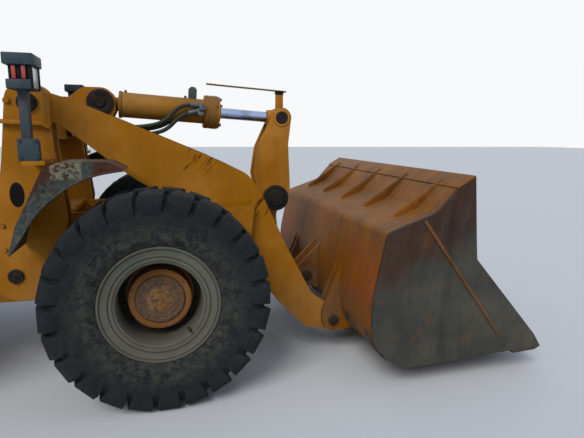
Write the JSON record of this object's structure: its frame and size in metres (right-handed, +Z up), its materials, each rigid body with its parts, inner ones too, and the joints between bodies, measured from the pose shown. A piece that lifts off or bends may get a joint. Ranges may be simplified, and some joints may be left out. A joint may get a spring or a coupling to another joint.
{
  "type": "articulated wheel loader",
  "caption": "Articulated wheel loader with a Z-bar bucket linkage, cab, engine hood, counterweight and wide lugged tyres.",
  "frame": {"origin": "on the ground under the middle of the machine's overall length and width, wheels straight and bucket lowered", "axes": "+X forwards, +Y to the driver's left, +Z up"},
  "size_m": [6.95, 2.46, 3.1698],
  "materials": {
    "yellow_paint": "worn ochre-yellow enamel with rust at scratches and edges",
    "bucket_paint": "orange enamel worn to brown-grey steel and rust",
    "crank_paint": "worn ochre-yellow enamel",
    "grey_paint": "weathered grey-blue paint with rust",
    "rim_paint": "dusty khaki-grey paint",
    "tyre_rubber": "black rubber, dusty sidewall",
    "chrome": "hard-chromed rod",
    "pin_steel": "dark greased steel",
    "cast_iron": "dark painted casting",
    "glass": "clear flat safety glass",
    "black_trim": "black"
  },
  "bodies": {
    "chassis": {"rear_frame": "yellow_paint", "articulation_pins": "pin_steel", "rear_axle": "yellow_paint", "engine": "cast_iron", "transmission": "cast_iron", "counterweight": "cast_iron", "hood": "yellow_paint", "radiator_grille": "grey_paint", "tanks": "yellow_paint", "ladders": "yellow_paint", "rear_fenders": "yellow_paint", "cab_floor": "yellow_paint", "cab_frame": "yellow_paint", "cab_roof": "grey_paint", "cab_windows": "glass", "seat": "black_trim", "steering_column": "black_trim", "handrails": "black_trim", "hood_stacks": "black_trim"},
    "front": {"front_frame": "yellow_paint", "front_axle": "yellow_paint", "boom_pivot_pins": "pin_steel", "front_mudguards": "grey_paint", "lamp_posts": "grey_paint", "tilt_cylinder_pin": "pin_steel"},
    "wheel_front_left": {"tyre_front_left": "tyre_rubber", "rim_front_left": "rim_paint"},
    "wheel_front_right": {"tyre_front_right": "tyre_rubber", "rim_front_right": "rim_paint"},
    "wheel_rear_left": {"tyre_rear_left": "tyre_rubber", "rim_rear_left": "rim_paint"},
    "wheel_rear_right": {"tyre_rear_right": "tyre_rubber", "rim_rear_right": "rim_paint"},
    "boom": {"boom_arm_left": "yellow_paint", "boom_arm_right": "yellow_paint", "boom_cross_tube": "yellow_paint"},
    "bucket_carrier": {"bucket_pins": "pin_steel"},
    "bucket": {"bucket_shell": "bucket_paint", "bucket_ends": "bucket_paint"},
    "crank_carrier": {"bell_crank_pin": "pin_steel"},
    "crank": {"bell_crank": "crank_paint"},
    "link_carrier": {"link_pin": "pin_steel"},
    "link": {"link": "crank_paint"},
    "tilt_barrel": {"tilt_barrel": "yellow_paint"},
    "tilt_rod": {"tilt_rod": "chrome"},
    "lift_barrels": {"lift_barrels": "yellow_paint"},
    "lift_rods": {"lift_rods": "chrome"},
    "steering_barrel_left": {"steering_barrel_left": "yellow_paint"},
    "steering_barrel_right": {"steering_barrel_right": "yellow_paint"},
    "steering_rod_left": {"steering_rod_left": "chrome"},
    "steering_rod_right": {"steering_rod_right": "chrome"},
    "cab_door_left": {"door_left": "yellow_paint", "door_glass_left": "glass"},
    "cab_door_right": {"door_right": "yellow_paint", "door_glass_right": "glass"},
    "hood_door_left": {"hood_door_left": "yellow_paint"},
    "hood_door_right": {"hood_door_right": "yellow_paint"}
  },
  "joints": [
    {"name": "steer", "type": "hinge", "parent": "chassis", "child": "front", "pos_m": [-0.51, 0, 0.8], "axis": [0, 0, 1], "range_deg": [-36, 36]},
    {"name": "wheel_front_left_spin", "type": "hinge", "parent": "front", "child": "wheel_front_left", "pos_m": [0.865, 0.925, 0.67], "axis": [0, 1, 0], "continuous": true},
    {"name": "wheel_front_right_spin", "type": "hinge", "parent": "front", "child": "wheel_front_right", "pos_m": [0.865, -0.925, 0.67], "axis": [0, 1, 0], "continuous": true},
    {"name": "wheel_rear_left_spin", "type": "hinge", "parent": "chassis", "child": "wheel_rear_left", "pos_m": [-1.885, 0.925, 0.67], "axis": [0, 1, 0], "continuous": true},
    {"name": "wheel_rear_right_spin", "type": "hinge", "parent": "chassis", "child": "wheel_rear_right", "pos_m": [-1.885, -0.925, 0.67], "axis": [0, 1, 0], "continuous": true},
    {"name": "boom_lift", "type": "hinge", "parent": "front", "child": "boom", "pos_m": [0.15, 0, 1.837], "axis": [0, -1, 0], "range_deg": [-4, 84]},
    {"name": "bucket_level", "type": "hinge", "parent": "boom", "child": "bucket_carrier", "pos_m": [2.113, 0, 0.278], "axis": [0, -1, 0], "range_deg": [-67.4, 3.4]},
    {"name": "bucket_tilt", "type": "hinge", "parent": "bucket_carrier", "child": "bucket", "pos_m": [2.113, 0, 0.278], "axis": [0, 1, 0], "range_deg": [-28, 48]},
    {"name": "crank_level", "type": "hinge", "parent": "boom", "child": "crank_carrier", "pos_m": [1.779, 0, 1.159], "axis": [0, -1, 0], "range_deg": [-1.13, 19.81]},
    {"name": "crank_turn", "type": "hinge", "parent": "crank_carrier", "child": "crank", "pos_m": [1.779, 0, 1.159], "axis": [0, -1, 0], "range_deg": [-3.74, 6.28]},
    {"name": "link_level", "type": "hinge", "parent": "bucket", "child": "link_carrier", "pos_m": [2.065, 0, 0.48], "axis": [0, -1, 0], "range_deg": [-1.87, 35.24]},
    {"name": "link_turn", "type": "hinge", "parent": "link_carrier", "child": "link", "pos_m": [2.065, 0, 0.48], "axis": [0, -1, 0], "range_deg": [-24.04, 41.07]},
    {"name": "tilt_barrel_swing", "type": "hinge", "parent": "front", "child": "tilt_barrel", "pos_m": [0.495, 0, 1.88], "axis": [0, -1, 0], "range_deg": [-4.91, 99.16]},
    {"name": "tilt_rod_slide", "type": "slide", "parent": "tilt_barrel", "child": "tilt_rod", "axis": [0.9978, 0, -0.0666], "range_m": [-0.0442, 0.0262]},
    {"name": "lift_barrel_swing", "type": "hinge", "parent": "front", "child": "lift_barrels", "pos_m": [0.005, 0, 0.78], "axis": [0, -1, 0], "range_deg": [-2.86, 56.06]},
    {"name": "lift_rod_slide", "type": "slide", "parent": "lift_barrels", "child": "lift_rods", "axis": [0.9952, 0, 0.0974], "range_m": [-0.0536, 1.1063]},
    {"name": "steering_barrel_swing_left", "type": "hinge", "parent": "chassis", "child": "steering_barrel_left", "pos_m": [-0.835, 0.28, 0.8], "axis": [0, 0, 1], "range_deg": [-15.28, 15.28]},
    {"name": "steering_rod_slide_left", "type": "slide", "parent": "steering_barrel_left", "child": "steering_rod_left", "axis": [0.995, -0.0995, 0], "range_m": [-0.1537, 0.1537]},
    {"name": "steering_barrel_swing_right", "type": "hinge", "parent": "chassis", "child": "steering_barrel_right", "pos_m": [-0.835, -0.28, 0.8], "axis": [0, 0, 1], "range_deg": [-15.28, 15.28]},
    {"name": "steering_rod_slide_right", "type": "slide", "parent": "steering_barrel_right", "child": "steering_rod_right", "axis": [0.995, 0.0995, 0], "range_m": [-0.1537, 0.1537]},
    {"name": "cab_door_left_swing", "type": "hinge", "parent": "chassis", "child": "cab_door_left", "pos_m": [-1.525, 0.693, 2.2], "axis": [0, 0, 1], "range_deg": [0, 95]},
    {"name": "cab_door_right_swing", "type": "hinge", "parent": "chassis", "child": "cab_door_right", "pos_m": [-1.525, -0.693, 2.2], "axis": [0, 0, -1], "range_deg": [0, 95]},
    {"name": "hood_door_left_lift", "type": "hinge", "parent": "chassis", "child": "hood_door_left", "pos_m": [-2.585, 0.513, 1.8], "axis": [1, 0, 0], "range_deg": [0, 75]},
    {"name": "hood_door_right_lift", "type": "hinge", "parent": "chassis", "child": "hood_door_right", "pos_m": [-2.585, -0.513, 1.8], "axis": [-1, 0, 0], "range_deg": [0, 75]}
  ],
  "couplings": [
    {"joint": "bucket_level", "follows": "boom_lift", "ratio": -0.8},
    {"joint": "crank_level", "follows": "boom_lift", "ratio": 0.2334},
    {"joint": "crank_turn", "follows": "bucket_tilt", "ratio": 0.1266},
    {"joint": "link_level", "follows": "boom_lift", "ratio": 0.4172},
    {"joint": "link_turn", "follows": "bucket_tilt", "ratio": 0.8514},
    {"joint": "tilt_barrel_swing", "follows": "boom_lift", "ratio": 1.1781},
    {"joint": "tilt_rod_slide", "follows": "bucket_tilt", "m_per_rad": -0.0516},
    {"joint": "lift_barrel_swing", "follows": "boom_lift", "ratio": 0.665},
    {"joint": "lift_rod_slide", "follows": "boom_lift", "m_per_rad": 0.7539},
    {"joint": "steering_barrel_swing_left", "follows": "steer", "ratio": 0.419},
    {"joint": "steering_rod_slide_left", "follows": "steer", "m_per_rad": -0.243},
    {"joint": "steering_barrel_swing_right", "follows": "steer", "ratio": 0.419},
    {"joint": "steering_rod_slide_right", "follows": "steer", "m_per_rad": 0.243}
  ]
}
